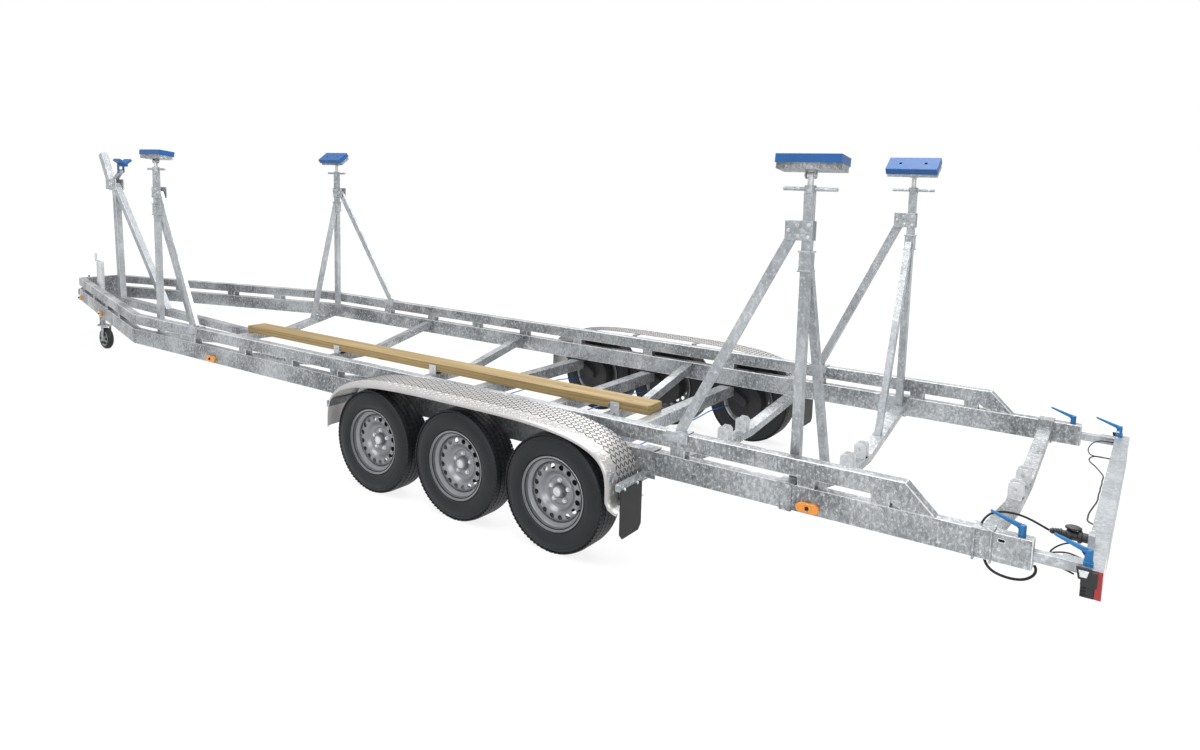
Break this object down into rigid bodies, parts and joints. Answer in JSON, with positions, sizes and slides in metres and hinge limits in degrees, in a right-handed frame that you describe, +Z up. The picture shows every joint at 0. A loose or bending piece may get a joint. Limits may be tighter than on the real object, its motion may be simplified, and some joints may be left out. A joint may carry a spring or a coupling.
{
  "type": "three-axle keel boat trailer",
  "caption": "Galvanised three-axle trailer for a keel boat, with adjustable hull stands, bow rest, keel plank, jockey wheel and a light bar that slides out.",
  "frame": {"origin": "on the ground under the centre of the trailer's box", "axes": "+X forward to the coupling, +Y left, +Z up"},
  "size_m": [10.081, 2.544, 2.0688],
  "materials": {
    "galvanised_steel": "hot-dip galvanised, mottled spangle",
    "tread_plate": "five-bar tread plate, mill finish",
    "silver_paint": "silver wheel paint",
    "tyre_rubber": "black tyre rubber",
    "black_rubber": "matt black rubber",
    "treated_pine": "pressure-treated pine",
    "blue_plastic": "blue moulded plastic",
    "black_plastic": "black moulded plastic",
    "red_lens": "red lamp lens",
    "amber_lens": "amber lamp lens"
  },
  "bodies": {
    "chassis": {"side_rail_left": "galvanised_steel", "top_rail_left": "galvanised_steel", "mudguard_left": "tread_plate", "side_rail_right": "galvanised_steel", "top_rail_right": "galvanised_steel", "mudguard_right": "tread_plate", "drawbar": "galvanised_steel", "overrun_housing": "galvanised_steel", "coupling_head": "galvanised_steel", "bow_crossmember": "galvanised_steel", "plain_crossmembers": "galvanised_steel", "keel_crossmember_front": "galvanised_steel", "keel_crossmember_middle": "galvanised_steel", "keel_crossmember_rear": "galvanised_steel", "mudguard_brackets": "galvanised_steel", "axles": "galvanised_steel", "bow_stand": "galvanised_steel", "jockey_tube": "galvanised_steel", "keel_plank": "treated_pine", "mud_flaps": "black_rubber", "marker_lamps": "amber_lens", "rail_levers": "blue_plastic", "stand_front_left": "galvanised_steel", "stand_front_right": "galvanised_steel", "stand_rear_left": "galvanised_steel", "stand_rear_right": "galvanised_steel", "cable_main": "black_rubber", "cable_loop": "black_rubber"},
    "wheel_left_front": {"tyre_left_front": "tyre_rubber", "rim_left_front": "silver_paint"},
    "wheel_left_middle": {"tyre_left_middle": "tyre_rubber", "rim_left_middle": "silver_paint"},
    "wheel_left_rear": {"tyre_left_rear": "tyre_rubber", "rim_left_rear": "silver_paint"},
    "wheel_right_front": {"tyre_right_front": "tyre_rubber", "rim_right_front": "silver_paint"},
    "wheel_right_middle": {"tyre_right_middle": "tyre_rubber", "rim_right_middle": "silver_paint"},
    "wheel_right_rear": {"tyre_right_rear": "tyre_rubber", "rim_right_rear": "silver_paint"},
    "screw_front_left": {"pad_screw_front_left": "galvanised_steel"},
    "pad_front_left": {"hull_pad_front_left": "blue_plastic"},
    "screw_front_right": {"pad_screw_front_right": "galvanised_steel"},
    "pad_front_right": {"hull_pad_front_right": "blue_plastic"},
    "screw_rear_left": {"pad_screw_rear_left": "galvanised_steel"},
    "pad_rear_left": {"hull_pad_rear_left": "blue_plastic"},
    "screw_rear_right": {"pad_screw_rear_right": "galvanised_steel"},
    "pad_rear_right": {"hull_pad_rear_right": "blue_plastic"},
    "bow_cradle": {"bow_pad": "blue_plastic"},
    "jockey_swivel": {"jockey_fork": "galvanised_steel"},
    "jockey_roller": {"jockey_wheel": "black_rubber"},
    "light_board": {"light_bar": "galvanised_steel", "tail_lamps": "black_plastic", "tail_lenses": "red_lens", "bar_levers": "blue_plastic", "cable_lamp": "black_rubber", "cable_bar": "black_rubber", "plug": "black_plastic"}
  },
  "joints": [
    {"name": "wheel_left_front_spin", "type": "hinge", "parent": "chassis", "child": "wheel_left_front", "pos_m": [-1.3345, 1.168, 0.307], "axis": [0, 1, 0], "continuous": true},
    {"name": "wheel_left_middle_spin", "type": "hinge", "parent": "chassis", "child": "wheel_left_middle", "pos_m": [-2.0045, 1.168, 0.307], "axis": [0, 1, 0], "continuous": true},
    {"name": "wheel_left_rear_spin", "type": "hinge", "parent": "chassis", "child": "wheel_left_rear", "pos_m": [-2.6745, 1.168, 0.307], "axis": [0, 1, 0], "continuous": true},
    {"name": "wheel_right_front_spin", "type": "hinge", "parent": "chassis", "child": "wheel_right_front", "pos_m": [-1.3345, -1.168, 0.307], "axis": [0, 1, 0], "continuous": true},
    {"name": "wheel_right_middle_spin", "type": "hinge", "parent": "chassis", "child": "wheel_right_middle", "pos_m": [-2.0045, -1.168, 0.307], "axis": [0, 1, 0], "continuous": true},
    {"name": "wheel_right_rear_spin", "type": "hinge", "parent": "chassis", "child": "wheel_right_rear", "pos_m": [-2.6745, -1.168, 0.307], "axis": [0, 1, 0], "continuous": true},
    {"name": "screw_front_left_rise", "type": "slide", "parent": "chassis", "child": "screw_front_left", "axis": [0, 0, 1], "range_m": [-0.02, 0.12]},
    {"name": "pad_front_left_tilt", "type": "hinge", "parent": "screw_front_left", "child": "pad_front_left", "pos_m": [1.6675, 0.884, 1.93], "axis": [1, 0, 0], "range_deg": [-22, 22]},
    {"name": "screw_front_right_rise", "type": "slide", "parent": "chassis", "child": "screw_front_right", "axis": [0, 0, 1], "range_m": [-0.05, 0.09]},
    {"name": "pad_front_right_tilt", "type": "hinge", "parent": "screw_front_right", "child": "pad_front_right", "pos_m": [1.6675, -0.884, 1.962], "axis": [1, 0, 0], "range_deg": [-4, 36]},
    {"name": "screw_rear_left_rise", "type": "slide", "parent": "chassis", "child": "screw_rear_left", "axis": [0, 0, 1], "range_m": [-0.02, 0.12]},
    {"name": "pad_rear_left_tilt", "type": "hinge", "parent": "screw_rear_left", "child": "pad_rear_left", "pos_m": [-3.8005, 0.884, 1.93], "axis": [1, 0, 0], "range_deg": [-22, 22]},
    {"name": "screw_rear_right_rise", "type": "slide", "parent": "chassis", "child": "screw_rear_right", "axis": [0, 0, 1], "range_m": [-0.05, 0.09]},
    {"name": "pad_rear_right_tilt", "type": "hinge", "parent": "screw_rear_right", "child": "pad_rear_right", "pos_m": [-3.8005, -0.884, 1.962], "axis": [1, 0, 0], "range_deg": [-4, 36]},
    {"name": "bow_cradle_tilt", "type": "hinge", "parent": "chassis", "child": "bow_cradle", "pos_m": [4.0355, 0, 1.83], "axis": [0, 1, 0], "range_deg": [-20, 20]},
    {"name": "jockey_swivel_turn", "type": "hinge", "parent": "chassis", "child": "jockey_swivel", "pos_m": [3.9655, 0.27451, 0.25], "axis": [0, 0, 1], "continuous": true},
    {"name": "jockey_roller_spin", "type": "hinge", "parent": "jockey_swivel", "child": "jockey_roller", "pos_m": [3.8955, 0.27451, 0.11], "axis": [0, 1, 0], "continuous": true},
    {"name": "light_board_slide", "type": "slide", "parent": "chassis", "child": "light_board", "axis": [-1, 0, 0], "range_m": [0, 0.22]}
  ]
}
